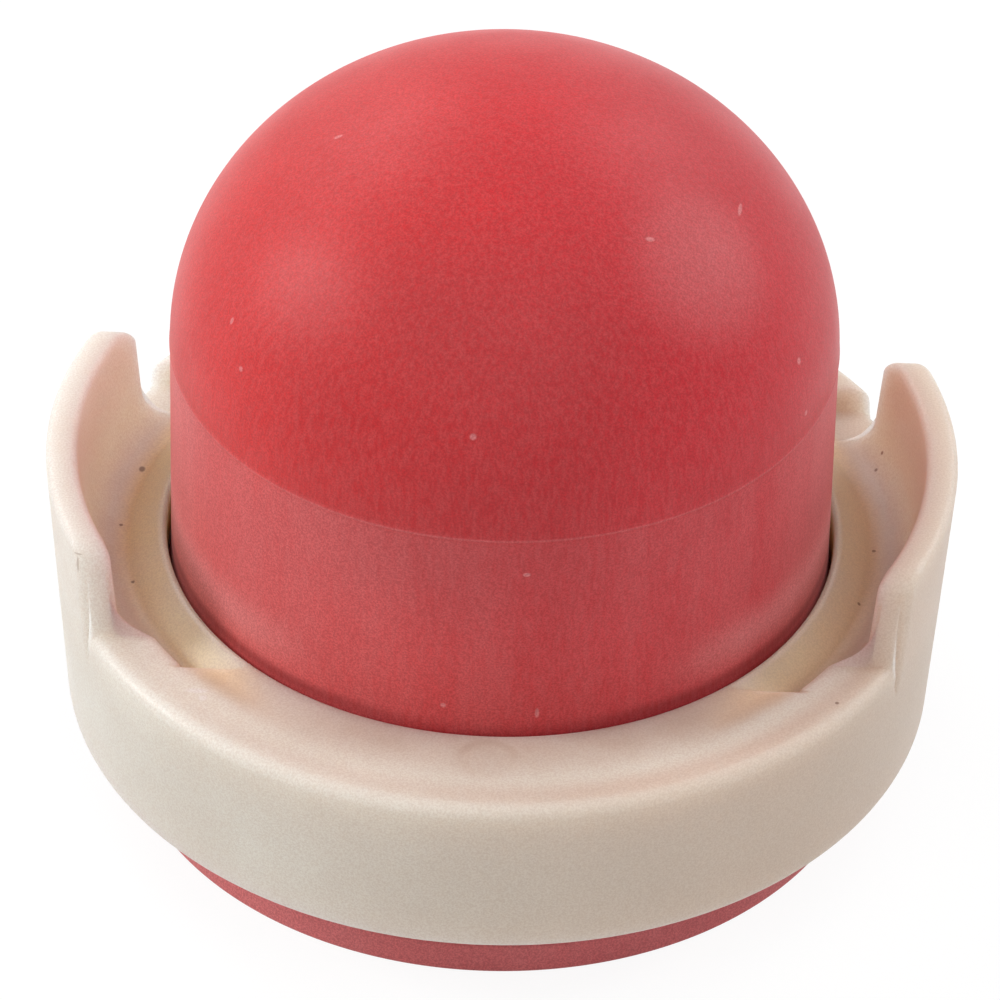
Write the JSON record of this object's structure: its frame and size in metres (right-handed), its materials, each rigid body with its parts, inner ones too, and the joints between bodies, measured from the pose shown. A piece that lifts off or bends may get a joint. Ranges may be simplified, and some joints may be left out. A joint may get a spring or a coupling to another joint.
{
  "type": "primer bulb",
  "caption": "Hollow rubber bulb with a domed top and thick foot, held down by an eared nylon collar; pressed by thumb to prime a small engine.",
  "frame": {"origin": "middle of the mounting face under the bulb's foot, on the bulb's axis", "axes": "+Z along the bulb's axis towards the crown; the two ears stand on the X axis"},
  "size_m": [0.0304, 0.03, 0.0262],
  "materials": {
    "rubber": "red moulded rubber, satin on the dome and slightly rougher on the wall, with a faint bloom",
    "nylon": "natural off-white nylon, slightly translucent, satin, stained tan where it surrounds the bulb"
  },
  "bodies": {
    "root": {"bulb": "rubber", "retainer_collar": "nylon"}
  },
  "joints": []
}
